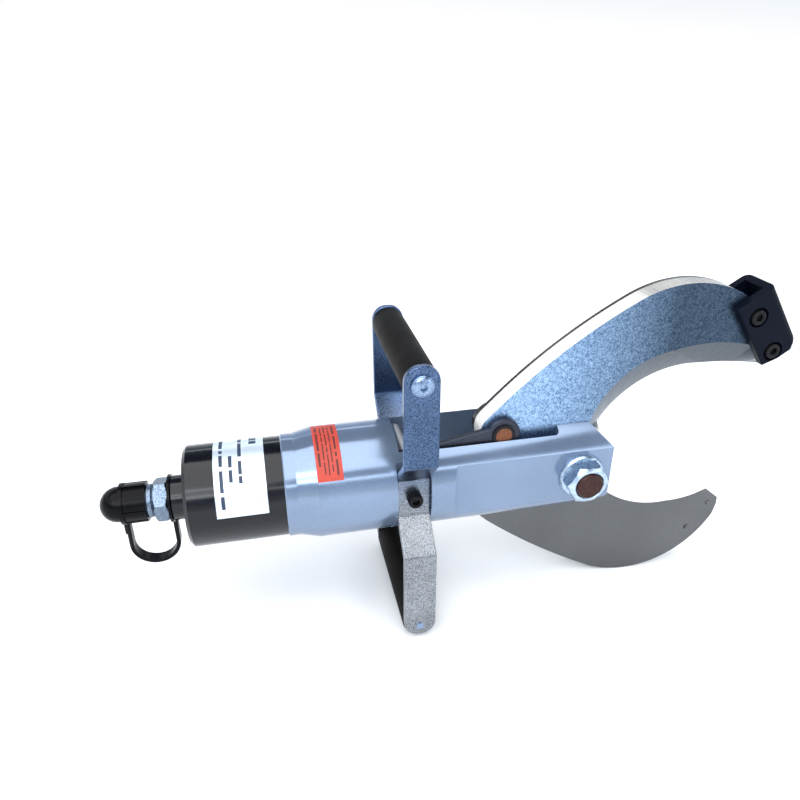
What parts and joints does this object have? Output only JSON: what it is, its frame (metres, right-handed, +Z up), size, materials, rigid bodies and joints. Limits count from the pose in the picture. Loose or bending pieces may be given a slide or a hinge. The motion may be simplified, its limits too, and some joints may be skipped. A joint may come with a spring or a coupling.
{
  "type": "hydraulic cable cutter head",
  "caption": "Split-type hydraulic cutter head: ram barrel with quick coupler, forked body, two scissor blades on links, and a pair of carrying grips.",
  "frame": {"origin": "on the ground, under the middle of the standing tool", "axes": "+X along the ground towards the jaws, +Y across the tool to its far side, +Z up"},
  "size_m": [0.532, 0.1308, 0.285],
  "materials": {
    "barrel_black": "black oxide steel, glossy",
    "body_aluminium": "clear anodised, satin",
    "blade_forged": "forged and zinc plated, fine speckle",
    "blade_ground": "ground smooth",
    "bracket_black": "black oxide",
    "screw_black": "black oxide",
    "plate_steel": "blasted and zinc plated",
    "grip_rubber": "matte",
    "core_steel": "turned",
    "zinc_bright": "bright zinc",
    "zinc_coupler": "sparkling zinc",
    "bolt_dark": "brown oxide",
    "link_dark": "dark oxide",
    "clip_black": "black oxide spring steel",
    "pin_brown": "copper brown, hardened",
    "spacer_steel": "turned",
    "bronze": "turned bronze",
    "piston_steel": "turned",
    "spring_steel": "oiled",
    "seal_rubber": "matte",
    "cap_plastic": "satin black",
    "label_silver": "silver film",
    "label_red": "printed film"
  },
  "bodies": {
    "root": {"barrel": "barrel_black", "barrel_o_ring": "seal_rubber", "cap_strap": "cap_plastic", "coupler": "zinc_coupler", "far_handle_plate": "plate_steel", "gland_bush": "bronze", "grip_bolts": "zinc_bright", "grip_rivets": "zinc_bright", "handle_mount_screws": "screw_black", "lower_grip_core": "core_steel", "lower_grip_sleeve": "grip_rubber", "main_body": "body_aluminium", "near_handle_plate": "plate_steel", "pivot_bolt": "bolt_dark", "pivot_nut": "zinc_bright", "pivot_washer": "zinc_bright", "poppet_spring": "spring_steel", "rating_label": "label_silver", "return_spring": "spring_steel", "rod_wiper": "seal_rubber", "spring_seat": "spacer_steel", "upper_grip_core": "core_steel", "upper_grip_sleeve": "grip_rubber", "warning_label": "label_red"},
    "rod": {"piston_rod": "core_steel", "piston": "piston_steel", "piston_seal": "seal_rubber", "piston_guide_ring": "bronze", "crosshead": "core_steel", "crosshead_pins": "pin_brown", "crosshead_clips": "clip_black"},
    "upper_link": {"upper_link": "link_dark", "upper_link_pin": "pin_brown", "upper_link_clip": "clip_black"},
    "lower_link": {"lower_link": "link_dark", "lower_link_pin": "pin_brown", "lower_link_clip": "clip_black"},
    "upper_jaw": {"upper_blade": "blade_forged", "upper_blade_bush": "bronze", "guide_bracket": "bracket_black", "bracket_screws": "screw_black"},
    "lower_jaw": {"lower_blade": "blade_ground", "lower_blade_bush": "bronze"},
    "poppet": {"coupler_poppet": "zinc_coupler"},
    "cap": {"dust_cap": "cap_plastic"}
  },
  "joints": [
    {"name": "rod_slide", "type": "slide", "parent": "root", "child": "rod", "axis": [0.9961, 0, 0.0886], "range_m": [0, 0.061], "stiffness_N_per_m": 2000, "springref_m": -0.03, "deforming": ["return_spring"]},
    {"name": "upper_blade_hinge", "type": "hinge", "parent": "root", "child": "upper_jaw", "pos_m": [0.09751, 0, 0.13201], "axis": [0, 1, 0], "range_deg": [0, 46.2]},
    {"name": "lower_blade_hinge", "type": "hinge", "parent": "root", "child": "lower_jaw", "pos_m": [0.09751, 0, 0.13201], "axis": [0, 1, 0], "range_deg": [-46.2, 0]},
    {"name": "upper_link_hinge", "type": "hinge", "parent": "rod", "child": "upper_link", "pos_m": [-0.04471, 0, 0.14144], "axis": [0, 1, 0], "range_deg": [-26.7, 0]},
    {"name": "lower_link_hinge", "type": "hinge", "parent": "rod", "child": "lower_link", "pos_m": [-0.04081, 0, 0.09761], "axis": [0, 1, 0], "range_deg": [0, 26.7]},
    {"name": "poppet_slide", "type": "slide", "parent": "root", "child": "poppet", "axis": [0.9961, 0, 0.0886], "range_m": [0, 0.003], "stiffness_N_per_m": 500, "springref_m": -0.002, "deforming": ["poppet_spring"]},
    {"name": "cap_pull", "type": "slide", "parent": "root", "child": "cap", "axis": [-0.9961, 0, -0.0886], "range_m": [0, 0.03], "deforming": ["cap_strap"]}
  ],
  "couplings": [
    {"joint": "upper_blade_hinge", "follows": "rod_slide", "rad_per_m": 13.162},
    {"joint": "lower_blade_hinge", "follows": "rod_slide", "rad_per_m": -13.162},
    {"joint": "upper_link_hinge", "follows": "rod_slide", "rad_per_m": -7.589},
    {"joint": "lower_link_hinge", "follows": "rod_slide", "rad_per_m": 7.589}
  ]
}
